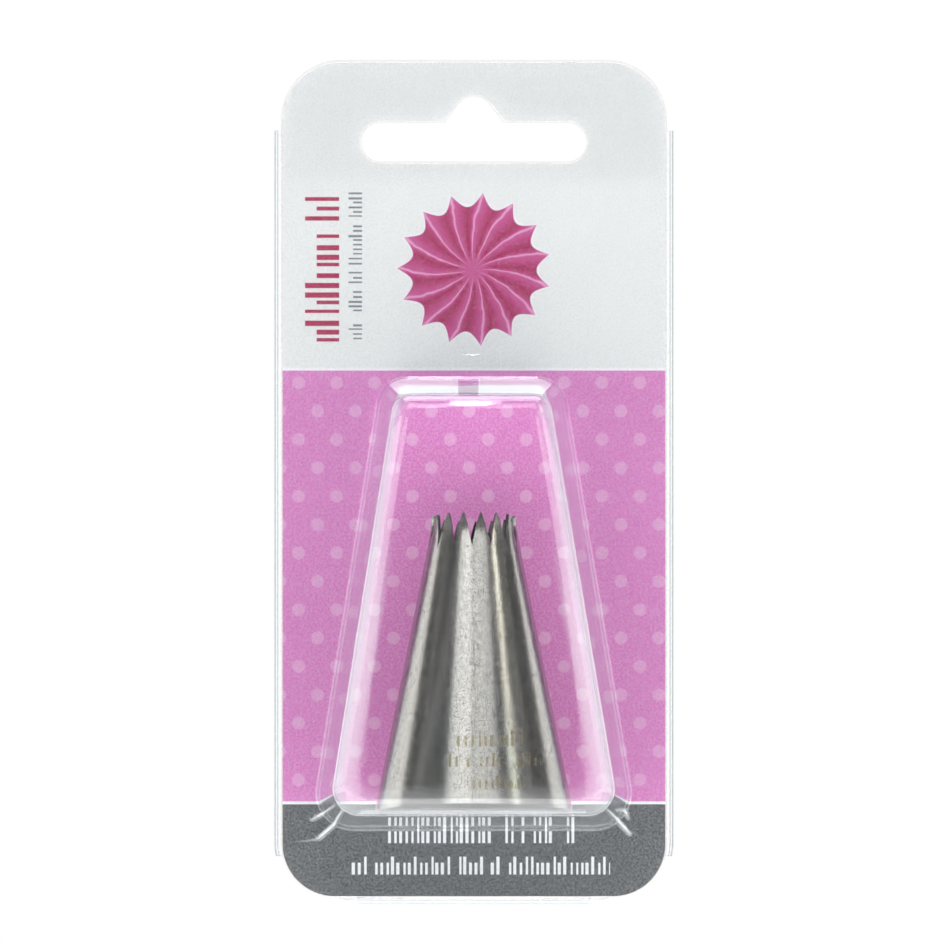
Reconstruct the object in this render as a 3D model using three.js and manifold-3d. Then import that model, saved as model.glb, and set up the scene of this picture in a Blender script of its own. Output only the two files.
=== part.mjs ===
// A star piping nozzle in a hanging slide blister pack.
//
// Three separate pieces: a clear formed shell, the printed card that slides into the
// shell's folded edges, and the steel nozzle that stands loose inside the shell's dome.
//
// Millimetres. +Z is up as the pack hangs, the front faces -Y, and X = 0 is the centre
// line. The origin is the top of the hanging slot's hump, at mid thickness of the card.

import * as THREE from 'three';
import { mergeVertices } from 'three/addons/utils/BufferGeometryUtils.js';
import Module from 'manifold-3d';

const wasm = await Module();
wasm.setup();

const DEG = Math.PI / 180;

// Printed card
const CARD_HALF_WIDTH = 26.9;
const CARD_TOP = 4.6;
const CARD_BOTTOM = -112.5;
const CARD_THICKNESS = 0.5;
const CARD_TOP_RADIUS = 8.4;
const CARD_BOTTOM_RADIUS = 7.4;

// Hanging slot, through the card and the clear sheet: the 32 mm euro slot
const SLOT_HALF_WIDTH = 16;
const SLOT_TOP = -3.7;
const SLOT_BOTTOM = -9.6;
const HUMP_RADIUS = 2.95;
const HUMP_SLOPE = 53 * DEG;

// Clear sheet, on both sides of the card
const SHEET_THICKNESS = 0.4;
const SHEET_GAP = 0.3;
const SHEET_HALF_WIDTH = 27.05;
const SHEET_TOP = 4.85;
const SHEET_BOTTOM = -112.55;
const SHEET_BOTTOM_RADIUS = 7.5;
const FOLD_INNER = CARD_THICKNESS / 2 + SHEET_GAP;
const FOLD_OUTER = FOLD_INNER + SHEET_THICKNESS;

// Folded edges: the tracks that hold the card
const FOLD_OVERLAP = 1;
const FLAP_WIDTH = 6;
const FLAP_MITRE = 2.2;
const SIDE_FOLD_TOP = -5.05;
const SIDE_FOLD_BOTTOM = -106.7;
const BOTTOM_FOLD_LENGTH = 32.8;

// Dome: a drafted, rounded trapezoid standing forward from the sheet
const DOME_TOP = -39.8;
const DOME_BOTTOM = -102.9;
const DOME_TOP_HALF_WIDTH = 12.6;
const DOME_BOTTOM_HALF_WIDTH = 22.75;
const DOME_DEPTH = 30;
const DOME_DRAFT = 2.3;
const DOME_TOP_RADIUS = 4;
const DOME_BOTTOM_RADIUS = 5;
const DOME_EDGE_RADIUS = 2.8;
const SMALLEST_RADIUS = 0.1;
const CORNER_STEPS = 6;
const EDGE_STEPS = 4;

// Nozzle: a thin cone, a little steeper at its toothed neck. It leans back, with its
// back rim just above the dome's bottom wall.
const NOZZLE_HEIGHT = 41.7;
const NOZZLE_BASE_RADIUS = 13.9;
const NOZZLE_NECK_HEIGHT = 39.2;
const NOZZLE_NECK_RADIUS = 6.1;
const NOZZLE_TIP_RADIUS = 5.9;
const NOZZLE_WALL = 0.5;
const NOZZLE_SIDES = 60;
const TEETH = 15;
const NOTCH_DEPTH = 4.8;
const NOTCH_HALF_WIDTH = 1.1;
const NOTCH_WAIST_DEPTH = 2.4;
const NOTCH_WAIST_HALF_WIDTH = 0.48;
const NOZZLE_Y = -14.5;
const NOZZLE_GAP = 0.3;
const NOZZLE_LEAN = 6.7 * DEG;
const NOZZLE_TURN = -2.5 * DEG;

function toSolid(geometry) {
  const bare = geometry.clone();
  bare.deleteAttribute('normal');
  bare.deleteAttribute('uv');
  const merged = mergeVertices(bare, 1e-4);
  return new wasm.Manifold(new wasm.Mesh({
    numProp: 3,
    vertProperties: new Float32Array(merged.attributes.position.array),
    triVerts: new Uint32Array(merged.index.array),
  }));
}

function toMesh(name, solid, material) {
  const { vertProperties, triVerts } = solid.getMesh();
  const geometry = new THREE.BufferGeometry();
  geometry.setAttribute('position', new THREE.BufferAttribute(vertProperties, 3));
  geometry.setIndex(new THREE.BufferAttribute(triVerts, 1));
  geometry.computeVertexNormals();
  const mesh = new THREE.Mesh(geometry, material);
  mesh.name = name;
  return mesh;
}

// A flat plate from an outline drawn in X and Z, between two depths.
function plate(outline, front, back) {
  const geometry = new THREE.ExtrudeGeometry(outline, {
    depth: back - front,
    bevelEnabled: false,
    curveSegments: CORNER_STEPS,
  });
  return geometry.rotateX(90 * DEG).translate(0, back, 0);
}

// A rectangle with one radius at its top corners and another at its bottom corners.
function roundedRectangle(halfWidth, bottom, top, bottomRadius, topRadius) {
  const shape = new THREE.Shape();
  const lowX = halfWidth - bottomRadius;
  const highX = halfWidth - topRadius;
  shape.absarc(lowX, bottom + bottomRadius, bottomRadius, -90 * DEG, 0, false);
  shape.absarc(highX, top - topRadius, topRadius, 0, 90 * DEG, false);
  shape.absarc(-highX, top - topRadius, topRadius, 90 * DEG, 180 * DEG, false);
  shape.absarc(-lowX, bottom + bottomRadius, bottomRadius, 180 * DEG, 270 * DEG, false);
  shape.closePath();
  return shape;
}

// A long slot with round ends and a round-topped hump in the middle of its upper side.
function hangingSlot() {
  const radius = (SLOT_TOP - SLOT_BOTTOM) / 2;
  const endX = SLOT_HALF_WIDTH - radius;
  const middle = SLOT_BOTTOM + radius;
  const humpEndX = HUMP_RADIUS * Math.sin(HUMP_SLOPE);
  const humpEndZ = HUMP_RADIUS * (Math.cos(HUMP_SLOPE) - 1);
  const footX = humpEndX + (humpEndZ - SLOT_TOP) / Math.tan(HUMP_SLOPE);
  const path = new THREE.Path();
  path.absarc(endX, middle, radius, -90 * DEG, 90 * DEG, false);
  path.lineTo(footX, SLOT_TOP);
  path.absarc(0, -HUMP_RADIUS, HUMP_RADIUS, 90 * DEG - HUMP_SLOPE, 90 * DEG + HUMP_SLOPE, false);
  path.lineTo(-footX, SLOT_TOP);
  path.absarc(-endX, middle, radius, 90 * DEG, 270 * DEG, false);
  path.closePath();
  return path;
}

function backingCard(material) {
  const outline = roundedRectangle(
    CARD_HALF_WIDTH, CARD_BOTTOM, CARD_TOP, CARD_BOTTOM_RADIUS, CARD_TOP_RADIUS);
  outline.holes.push(hangingSlot());
  const geometry = plate(outline, -CARD_THICKNESS / 2, CARD_THICKNESS / 2);
  return toMesh('backing_card', toSolid(geometry), material);
}

function frontSheet() {
  const outline = roundedRectangle(
    SHEET_HALF_WIDTH, SHEET_BOTTOM, SHEET_TOP, SHEET_BOTTOM_RADIUS, CARD_TOP_RADIUS);
  outline.holes.push(hangingSlot());
  return toSolid(plate(outline, -FOLD_OUTER, -FOLD_INNER));
}

// A folded edge lying along X at the origin: the sheet turns under -Z, from front to
// back, and ends in a flap that rises in +Z behind the card. Both flap ends are mitred.
function foldedEdge(length, angle, x, z) {
  const section = new THREE.Shape();
  section.moveTo(-FOLD_OVERLAP, -FOLD_OUTER);
  section.absarc(0, 0, FOLD_OUTER, -90 * DEG, 90 * DEG, false);
  section.lineTo(-FOLD_OVERLAP, FOLD_OUTER);
  section.lineTo(-FOLD_OVERLAP, FOLD_INNER);
  section.absarc(0, 0, FOLD_INNER, 90 * DEG, -90 * DEG, true);
  section.lineTo(-FOLD_OVERLAP, -FOLD_INNER);
  section.closePath();
  const turn = new THREE.ExtrudeGeometry(section, {
    depth: length,
    bevelEnabled: false,
    curveSegments: EDGE_STEPS,
  });
  turn.translate(0, 0, -length / 2).rotateY(90 * DEG);

  const outline = new THREE.Shape();
  outline.moveTo(-length / 2, 0);
  outline.lineTo(length / 2, 0);
  outline.lineTo(length / 2 - FLAP_MITRE, FLAP_WIDTH);
  outline.lineTo(-length / 2 + FLAP_MITRE, FLAP_WIDTH);
  outline.closePath();
  const flap = plate(outline, FOLD_INNER, FOLD_OUTER);

  const parts = [turn, flap].map((g) => toSolid(g.rotateY(angle).translate(x, 0, z)));
  return parts[0].add(parts[1]);
}

// Points round a polygon whose corners are rounded, the same number at every corner.
function roundCorners(corners, radii) {
  const points = [];
  corners.forEach((corner, i) => {
    const before = corners[(i + corners.length - 1) % corners.length].clone().sub(corner);
    const after = corners[(i + 1) % corners.length].clone().sub(corner);
    const half = Math.abs(before.angleTo(after)) / 2;
    const bisector = before.normalize().add(after.normalize()).normalize();
    const centre = corner.clone().addScaledVector(bisector, radii[i] / Math.sin(half));
    const middle = bisector.angle() + Math.PI;
    const sweep = Math.PI / 2 - half;
    for (let k = 0; k <= CORNER_STEPS; k += 1) {
      const angle = middle - sweep + 2 * sweep * (k / CORNER_STEPS);
      const offset = new THREE.Vector2(Math.cos(angle), Math.sin(angle));
      points.push(centre.clone().addScaledVector(offset, radii[i]));
    }
  });
  return points;
}

// The dome's outline moved in by an inset, at one depth.
function domeRing(inset, y) {
  const slope = (DOME_BOTTOM_HALF_WIDTH - DOME_TOP_HALF_WIDTH) / (DOME_TOP - DOME_BOTTOM);
  const sideInset = inset * Math.hypot(1, slope);
  const top = DOME_TOP - inset;
  const bottom = DOME_BOTTOM + inset;
  const topX = DOME_TOP_HALF_WIDTH + slope * inset - sideInset;
  const bottomX = DOME_BOTTOM_HALF_WIDTH - slope * inset - sideInset;
  const corners = [
    new THREE.Vector2(-bottomX, bottom),
    new THREE.Vector2(bottomX, bottom),
    new THREE.Vector2(topX, top),
    new THREE.Vector2(-topX, top),
  ];
  const topRadius = Math.max(DOME_TOP_RADIUS - inset, SMALLEST_RADIUS);
  const bottomRadius = Math.max(DOME_BOTTOM_RADIUS - inset, SMALLEST_RADIUS);
  const radii = [bottomRadius, bottomRadius, topRadius, topRadius];
  return roundCorners(corners, radii).map((p) => new THREE.Vector3(p.x, y, p.y));
}

// A closed solid through rings of equal count, capped at its first and last ring.
function loft(rings) {
  const count = rings[0].length;
  const triangles = [];
  for (let r = 0; r + 1 < rings.length; r += 1) {
    for (let i = 0; i < count; i += 1) {
      const next = (i + 1) % count;
      const [a, b] = [r * count + i, r * count + next];
      triangles.push(a, b, b + count, a, b + count, a + count);
    }
  }
  const flat = (ring) => ring.map((p) => new THREE.Vector2(p.x, p.z));
  const last = (rings.length - 1) * count;
  for (const [a, b, c] of THREE.ShapeUtils.triangulateShape(flat(rings[0]), [])) {
    triangles.push(a, c, b);
  }
  for (const [a, b, c] of THREE.ShapeUtils.triangulateShape(flat(rings.at(-1)), [])) {
    triangles.push(last + a, last + b, last + c);
  }
  const geometry = new THREE.BufferGeometry().setFromPoints(rings.flat());
  geometry.setIndex(triangles);
  return toSolid(geometry);
}

// The dome as a full block, shrunk on every side by an offset, from a back plane forward.
function domeBlock(offset, back) {
  const front = -FOLD_OUTER - DOME_DEPTH + offset;
  const radius = DOME_EDGE_RADIUS - offset;
  const shoulder = front + radius;
  const inset = (y) => offset + DOME_DRAFT * Math.max(-FOLD_OUTER - y, 0) / DOME_DEPTH;
  const rings = [domeRing(inset(back), back)];
  for (let k = 0; k <= EDGE_STEPS; k += 1) {
    const angle = 90 * DEG * (k / EDGE_STEPS);
    const turn = radius * (1 - Math.cos(angle));
    rings.push(domeRing(inset(shoulder) + turn, shoulder - radius * Math.sin(angle)));
  }
  return loft(rings);
}

function blisterShell(material) {
  const sideLength = SIDE_FOLD_TOP - SIDE_FOLD_BOTTOM;
  const sideMiddle = (SIDE_FOLD_TOP + SIDE_FOLD_BOTTOM) / 2;
  const solid = frontSheet()
    .add(foldedEdge(sideLength, -90 * DEG, SHEET_HALF_WIDTH, sideMiddle))
    .add(foldedEdge(sideLength, 90 * DEG, -SHEET_HALF_WIDTH, sideMiddle))
    .add(foldedEdge(BOTTOM_FOLD_LENGTH, 0, 0, SHEET_BOTTOM))
    .add(domeBlock(0, -FOLD_OUTER + SHEET_THICKNESS / 2))
    .subtract(domeBlock(SHEET_THICKNESS, -CARD_THICKNESS));
  return toMesh('blister_shell', solid, material);
}

// One notch between two teeth: a narrow V that opens wide near the tips.
function notch(angle) {
  const outline = new THREE.Shape();
  outline.moveTo(0, -NOTCH_DEPTH);
  outline.lineTo(NOTCH_WAIST_HALF_WIDTH, -NOTCH_WAIST_DEPTH);
  outline.lineTo(NOTCH_HALF_WIDTH, 0);
  outline.lineTo(NOTCH_HALF_WIDTH, 1);
  outline.lineTo(-NOTCH_HALF_WIDTH, 1);
  outline.lineTo(-NOTCH_HALF_WIDTH, 0);
  outline.lineTo(-NOTCH_WAIST_HALF_WIDTH, -NOTCH_WAIST_DEPTH);
  outline.closePath();
  const outside = NOZZLE_TIP_RADIUS + 2 * NOZZLE_WALL + 1;
  const inside = NOZZLE_TIP_RADIUS - 2 * NOZZLE_WALL - 1;
  const cutter = plate(outline, -outside, -inside);
  return toSolid(cutter.rotateZ(angle).translate(0, 0, NOZZLE_HEIGHT));
}

function starNozzle(material) {
  const profile = [
    new THREE.Vector2(NOZZLE_BASE_RADIUS, 0),
    new THREE.Vector2(NOZZLE_NECK_RADIUS, NOZZLE_NECK_HEIGHT),
    new THREE.Vector2(NOZZLE_TIP_RADIUS, NOZZLE_HEIGHT),
    new THREE.Vector2(NOZZLE_TIP_RADIUS - NOZZLE_WALL, NOZZLE_HEIGHT),
    new THREE.Vector2(NOZZLE_NECK_RADIUS - NOZZLE_WALL, NOZZLE_NECK_HEIGHT),
    new THREE.Vector2(NOZZLE_BASE_RADIUS - NOZZLE_WALL, 0),
    new THREE.Vector2(NOZZLE_BASE_RADIUS, 0),
  ];
  let solid = toSolid(new THREE.LatheGeometry(profile, NOZZLE_SIDES).rotateX(90 * DEG));
  for (let i = 0; i < TEETH; i += 1) {
    solid = solid.subtract(notch(i * 360 * DEG / TEETH));
  }
  return toMesh('star_nozzle', solid, material);
}

const clearPlastic = new THREE.MeshStandardMaterial({
  color: 0xeef3f5,
  roughness: 0.08,
  metalness: 0,
  transparent: true,
  opacity: 0.3,
});
const printedCard = new THREE.MeshStandardMaterial({
  color: 0xd288be,
  roughness: 0.6,
  metalness: 0,
});
const stainlessSteel = new THREE.MeshStandardMaterial({
  color: 0xa6a39c,
  roughness: 0.32,
  metalness: 1,
});

// The nozzle turned a little about its own axis, leaning back inside the dome.
function leaningNozzle(material) {
  const nozzle = starNozzle(material);
  nozzle.rotation.z = NOZZLE_TURN;
  const seat = new THREE.Group();
  const rimDrop = NOZZLE_BASE_RADIUS * Math.sin(NOZZLE_LEAN);
  seat.position.set(0, NOZZLE_Y, DOME_BOTTOM + SHEET_THICKNESS + NOZZLE_GAP + rimDrop);
  seat.rotation.x = -NOZZLE_LEAN;
  seat.add(nozzle);
  return seat;
}

const pack = new THREE.Group();
pack.add(blisterShell(clearPlastic), backingCard(printedCard), leaningNozzle(stainlessSteel));

export default pack;
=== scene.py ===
"""A star piping nozzle in a hanging slide blister pack, dressed round the CAD frame.

Metres, in the frame's own axes: +Z up as the pack hangs, front towards -Y.
"""

import math

import bmesh
import bpy
from mathutils import Matrix, Vector
from mathutils.geometry import tessellate_polygon


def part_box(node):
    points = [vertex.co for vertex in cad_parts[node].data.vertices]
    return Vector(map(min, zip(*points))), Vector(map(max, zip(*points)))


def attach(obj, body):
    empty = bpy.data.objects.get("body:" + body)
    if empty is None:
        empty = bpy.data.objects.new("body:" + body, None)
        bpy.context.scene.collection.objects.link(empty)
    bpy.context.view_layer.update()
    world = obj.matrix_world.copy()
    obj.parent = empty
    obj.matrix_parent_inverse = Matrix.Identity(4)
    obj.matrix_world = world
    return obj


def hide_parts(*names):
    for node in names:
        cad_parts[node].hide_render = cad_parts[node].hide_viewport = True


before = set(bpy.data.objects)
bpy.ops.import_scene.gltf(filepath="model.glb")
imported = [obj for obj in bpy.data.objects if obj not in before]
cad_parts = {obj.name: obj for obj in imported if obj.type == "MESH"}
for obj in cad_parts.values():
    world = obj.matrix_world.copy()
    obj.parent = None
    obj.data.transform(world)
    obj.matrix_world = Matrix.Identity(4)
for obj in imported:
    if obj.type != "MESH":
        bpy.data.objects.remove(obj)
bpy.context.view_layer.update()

MM = 0.001
card_low, card_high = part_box("backing_card")
shell_low, shell_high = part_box("blister_shell")
nozzle_low, nozzle_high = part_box("star_nozzle")

# Card and hanging slot
CARD_HALF_WIDTH = card_high.x
CARD_TOP_RADIUS = 8.4 * MM
CARD_BOTTOM_RADIUS = 7.4 * MM
CARD_EDGE_SOFTNESS = 0.06 * MM
CARD_SHARP_ANGLE = 8
CORNER_STEPS = 20
SLOT_HALF_WIDTH = 16 * MM
SLOT_TOP = -3.7 * MM
SLOT_BOTTOM = -9.6 * MM
HUMP_RADIUS = 2.95 * MM
HUMP_SLOPE = math.radians(53)
SHEET_SLOT_GROWTH = -0.22 * MM

# Clear sheet and its folded edges
FOLD_RADIUS = shell_high.y
SHEET_FACE = -FOLD_RADIUS
SHEET_HALF_WIDTH = shell_high.x - FOLD_RADIUS
SHEET_TOP = shell_high.z
SHEET_BOTTOM = shell_low.z + FOLD_RADIUS
SHEET_BOTTOM_RADIUS = 7.5 * MM
SHEET_THICKNESS = 0.4 * MM
SIDE_FOLD_TOP = -5.05 * MM
SIDE_FOLD_BOTTOM = -106.7 * MM
BOTTOM_FOLD_HALF = 16.4 * MM
FLAP_WIDTH = 6 * MM
FLAP_MITRE = 2.2 * MM
FOLD_ROWS = 12
FLAP_ROWS = 6
SHEET_LONGEST_SIDE = 3 * MM
SHEET_SHARP_ANGLE = 40
FLAT_NORMAL = 0.9999
SHORTEST_EDGE = 0.001 * MM

# Dome
DOME_FRONT = shell_low.y
DOME_TOP = -39.8 * MM
DOME_BOTTOM = -102.9 * MM
DOME_TOP_HALF_WIDTH = 12.6 * MM
DOME_BOTTOM_HALF_WIDTH = 22.75 * MM
DOME_DRAFT = 2.3 / 30
DOME_TOP_RADIUS = 4 * MM
DOME_BOTTOM_RADIUS = 5 * MM
DOME_EDGE_RADIUS = 2.8 * MM
DOME_SHIFT_TOP = -0.3 * MM
DOME_SHIFT_BOTTOM = 0.0
DOME_BASE_FILLET = 0.45 * MM
DOME_CROWN_ACROSS = 120 * MM
DOME_CROWN_ALONG = 1500 * MM
DOME_CORNER_TAPER = 0.55
APRON = 3.4 * MM
APRON_ROWS = 26
FILLET_ROWS = 8
WALL_ROWS = 12
WALL_CROWDING = 1.6
EDGE_ROWS = 12
FRONT_ROWS = 12
SMALLEST_RADIUS = 1.2 * MM
WEB_END_ROW = APRON_ROWS + 14
WEB_FADE_ROWS = 5

# Numbers kept at a mesh's vertices: how much the clear sheet clouds over, partly as painted sheen
# on the dome's edge and painted glints on its wrinkles, and 1 inside the nozzle, where its shade is
# painted
MARK = "mark"
EDGE_CLOUD_AND_SHEEN = 0.21
BOTTOM_EDGE_SHARE = 0.45
RIM_CLOUD_AND_SHEEN = 0.1
RIM_CLOUD_AND_SHEEN_LEAST = 0.02
RIM_CLOUD_AND_SHEEN_START = -60 * MM
RIM_CLOUD_AND_SHEEN_LENGTH = 12 * MM
# A painted highlight on the wrinkles at the dome's lower corners.
WEB_GLINT = 0.5
WEB_GLINT_LIFT = 0.35 * MM

# Nozzle
NOZZLE_HEIGHT = 41.7 * MM
NOZZLE_BASE_RADIUS = 13.9 * MM
NOZZLE_NECK_HEIGHT = 39.2 * MM
NOZZLE_NECK_RADIUS = 6.1 * MM
NOZZLE_TIP_RADIUS = 5.9 * MM
NOZZLE_WALL = 0.5 * MM
NOZZLE_LEAN = math.radians(6.7)
NOZZLE_TURN = math.radians(-2.5)
NOZZLE_SHARP_ANGLE = 35
TEETH = 15
NOTCH_DEPTH = 4.8 * MM
NOTCH_CURVE = 1.4

# Camera: far away, so that the pack is seen with little perspective
CAMERA_DISTANCE = 3.0
VIEW_WIDTH = 132.6 * MM
VIEW_CENTRE = Vector((-0.2 * MM, 0, -53.0 * MM))
SENSOR_WIDTH = 36

# Lamps: one factor on all of them
BRIGHTNESS = 1.27


# ---------------------------------------------------------------- outlines


def arc(centre, radius, start, end, steps):
    """Points on an arc, from start to end in degrees, both included."""
    points = []
    for k in range(steps + 1):
        angle = math.radians(start + (end - start) * k / steps)
        x = centre[0] + radius * math.cos(angle)
        points.append(Vector((x, centre[1] + radius * math.sin(angle))))
    return points


def with_steps(points, longest):
    """A closed outline whose long straight stretches are cut into shorter ones."""
    result = []
    for here, after in zip(points, points[1:] + points[:1]):
        pieces = max(1, math.ceil((after - here).length / longest))
        result += [here.lerp(after, k / pieces) for k in range(pieces)]
    return result


def rounded_rectangle(half_width, bottom, top, bottom_radius, top_radius):
    low, high = half_width - bottom_radius, half_width - top_radius
    low_z, high_z = bottom + bottom_radius, top - top_radius
    return (
        arc((low, low_z), bottom_radius, -90, 0, CORNER_STEPS)
        + arc((high, high_z), top_radius, 0, 90, CORNER_STEPS)
        + arc((-high, high_z), top_radius, 90, 180, CORNER_STEPS)
        + arc((-low, low_z), bottom_radius, 180, 270, CORNER_STEPS)
    )


def hanging_slot(growth):
    """The euro slot's outline, made larger all round by growth."""
    radius = (SLOT_TOP - SLOT_BOTTOM) / 2
    end_x, middle = SLOT_HALF_WIDTH - radius, SLOT_BOTTOM + radius
    hump = HUMP_RADIUS + growth
    top = SLOT_TOP + growth
    slope = math.degrees(HUMP_SLOPE)
    hump_x = hump * math.sin(HUMP_SLOPE)
    hump_z = hump * math.cos(HUMP_SLOPE) - HUMP_RADIUS
    foot_x = hump_x + (hump_z - top) / math.tan(HUMP_SLOPE)
    return (
        arc((end_x, middle), radius + growth, -90, 90, 20)
        + [Vector((foot_x, top))]
        + arc((0, -HUMP_RADIUS), hump, 90 - slope, 90 + slope, 16)
        + [Vector((-foot_x, top))]
        + arc((-end_x, middle), radius + growth, 90, 270, 20)
    )


def round_polygon(corners, radii, arc_steps, side_steps):
    """A polygon with rounded corners, always with the same number of points."""
    arcs = []
    for i, corner in enumerate(corners):
        before = (corners[i - 1] - corner).normalized()
        after = (corners[(i + 1) % len(corners)] - corner).normalized()
        half = before.angle(after) / 2
        bisector = (before + after).normalized()
        centre = corner + bisector * (radii[i] / math.sin(half))
        middle = math.degrees(math.atan2(-bisector.y, -bisector.x))
        sweep = 90 - math.degrees(half)
        arcs.append(arc(centre, radii[i], middle - sweep, middle + sweep, arc_steps[i]))
    points = []
    for i, stretch in enumerate(arcs):
        start, end = stretch[-1], arcs[(i + 1) % len(arcs)][0]
        points += stretch
        points += [start.lerp(end, k / side_steps[i]) for k in range(1, side_steps[i])]
    return points


def dome_shift(z):
    """How far the dome's middle stands to the side at a height."""
    share = (z - DOME_BOTTOM) / (DOME_TOP - DOME_BOTTOM)
    return DOME_SHIFT_BOTTOM + (DOME_SHIFT_TOP - DOME_SHIFT_BOTTOM) * share


def dome_outline(inset):
    """The dome's outline moved in by inset, or out where inset is negative."""
    slope = (DOME_BOTTOM_HALF_WIDTH - DOME_TOP_HALF_WIDTH) / (DOME_TOP - DOME_BOTTOM)
    side = inset * math.hypot(1, slope)
    top, bottom = DOME_TOP - inset, DOME_BOTTOM + inset
    top_x = DOME_TOP_HALF_WIDTH + slope * inset - side
    bottom_x = DOME_BOTTOM_HALF_WIDTH - slope * inset - side
    corners = [(-bottom_x, bottom), (bottom_x, bottom), (top_x, top), (-top_x, top)]
    corners = [Vector((x + dome_shift(z), z)) for x, z in corners]
    shrink = inset * (DOME_CORNER_TAPER if inset > 0 else 1)
    low = max(DOME_BOTTOM_RADIUS - shrink, SMALLEST_RADIUS)
    high = max(DOME_TOP_RADIUS - shrink, SMALLEST_RADIUS)
    return round_polygon(corners, [low, low, high, high], [80, 80, 20, 20], [20, 24, 12, 24])


# ---------------------------------------------------------------- meshes


class MeshBuilder:
    """Vertices and faces gathered into one mesh, with equal points welded."""

    def __init__(self):
        self.points = []
        self.index = {}
        self.faces = []
        self.marks = {}

    def vertex(self, point):
        key = tuple(round(c / (0.0005 * MM)) for c in point)
        if key not in self.index:
            self.index[key] = len(self.points)
            self.points.append(tuple(point))
        return self.index[key]

    def row(self, points, marks=None):
        """The vertices at some points, each with an optional number for the material to read."""
        row = [self.vertex(p) for p in points]
        self.marks.update(zip(row, marks or ()))
        return row

    def face(self, corners):
        corners = [c for i, c in enumerate(corners) if c != corners[i - 1]]
        if len(corners) > 2:
            self.faces.append(corners)

    def band(self, first, second, closed=True):
        """Quads between two rows of equal length."""
        last = len(first) if closed else len(first) - 1
        for i in range(last):
            j = (i + 1) % len(first)
            self.face([first[i], first[j], second[j], second[i]])

    def fill(self, outlines, y, flip=False):
        """A flat face at one depth, the first outline with the others as holes."""
        flat = [Vector((p.x, y, p.y)) for outline in outlines for p in outline]
        row = self.row(flat)
        loops = [[Vector((p.x, p.y, 0)) for p in outline] for outline in outlines]
        for a, b, c in tessellate_polygon(loops):
            area = (flat[b] - flat[a]).cross(flat[c] - flat[a]).y
            front = area < 0
            corners = [row[a], row[b], row[c]] if front != flip else [row[a], row[c], row[b]]
            self.face(corners)

    def mesh(self, name):
        mesh = bpy.data.meshes.new(name)
        mesh.from_pydata(self.points, [], self.faces)
        marks = mesh.attributes.new(MARK, "FLOAT", "POINT")
        marks.data.foreach_set("value", [self.marks.get(i, 0.0) for i in range(len(self.points))])
        mesh.validate()
        return mesh


def add_object(mesh, sharp_angle):
    mesh.polygons.foreach_set("use_smooth", [True] * len(mesh.polygons))
    mesh.set_sharp_from_angle(angle=math.radians(sharp_angle))
    piece = bpy.data.objects.new(mesh.name, mesh)
    bpy.context.scene.collection.objects.link(piece)
    return piece


def ring_3d(outline, y):
    return [Vector((p.x, y, p.y)) for p in outline]


def dome_profile():
    """(inset, depth) pairs from the flat apron to the end of the rounded front edge."""
    k = DOME_DRAFT
    lean = math.atan(k)
    fillet, edge = DOME_BASE_FILLET, DOME_EDGE_RADIUS
    centre = (k - math.hypot(1, k)) * fillet
    profile = [(-APRON + (APRON + centre) * s / APRON_ROWS, SHEET_FACE) for s in range(APRON_ROWS)]
    for s in range(FILLET_ROWS + 1):
        turn = (math.pi / 2 - lean) * s / FILLET_ROWS
        y = SHEET_FACE - fillet + fillet * math.cos(turn)
        profile.append((centre + fillet * math.sin(turn), y))
    rim = DOME_FRONT
    wall_start = profile[-1]
    edge_inset = k * (SHEET_FACE - rim - edge) + edge * math.hypot(1, k)
    wall_end = (edge_inset - edge * math.cos(lean), rim + edge - edge * math.sin(lean))
    for s in range(1, WALL_ROWS):
        share = (s / WALL_ROWS) ** WALL_CROWDING
        profile.append(tuple(a + (b - a) * share for a, b in zip(wall_start, wall_end)))
    return profile, (edge_inset, rim + edge, lean)


def web_lift(point):
    """How far the wrinkles of gathered sheet stand out at the dome's lower corners."""
    lift = 0.0
    for side, start, end, height, width in WEBS:
        a, b = Vector((side * start[0], start[1])) * MM, Vector((side * end[0], end[1])) * MM
        here = Vector((point.x, point.z))
        along = max(0.0, min(1.0, (here - a).dot(b - a) / (b - a).length_squared))
        gap = (here - a.lerp(b, along)).length / (width * MM)
        fade = math.sin(math.pi * (0.08 + 0.84 * along))
        lift += height * MM * fade * math.exp(-gap * gap)
    return lift


# Side, start (x, z), end (x, z), height and width in mm
WEBS = [
    (-1, (18.2, -101.0), (22.9, -105.2), 0.5, 0.25),
    (-1, (18.5, -99.3), (22.7, -101.6), 0.42, 0.24),
    (-1, (18.9, -98.6), (21.2, -99.4), 0.25, 0.22),
    (1, (18.9, -100.3), (21.9, -103.6), 0.5, 0.25),
    (1, (20.3, -98.2), (21.6, -101.4), 0.42, 0.24),
]


def dome_middle():
    middle_z = (DOME_TOP + DOME_BOTTOM) / 2
    return Vector((dome_shift(middle_z), middle_z))


def crown(point):
    """How far the bulging front face stands back at a point, and its slope there."""
    away = point - dome_middle()
    back = away.x ** 2 / (2 * DOME_CROWN_ACROSS) + away.y ** 2 / (2 * DOME_CROWN_ALONG)
    return back, Vector((away.x / DOME_CROWN_ACROSS, away.y / DOME_CROWN_ALONG))


def edge_cloud_and_sheen(point, outward, inward):
    """How much the stretched edge clouds over: some real whitening, and a painted reflection of the
    lamps at the sides and below, growing towards the bottom. inward is 0 at its outer side and 1 at
    the front face.
    """
    low = max(0.0, min(1.0, (RIM_CLOUD_AND_SHEEN_START - point.y) / RIM_CLOUD_AND_SHEEN_LENGTH))
    outer, rim = EDGE_CLOUD_AND_SHEEN, RIM_CLOUD_AND_SHEEN * low + RIM_CLOUD_AND_SHEEN_LEAST
    share = outward.x ** 2 + BOTTOM_EDGE_SHARE * max(0.0, -outward.y) ** 2
    return (outer + (rim - outer) * inward) * share


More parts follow.
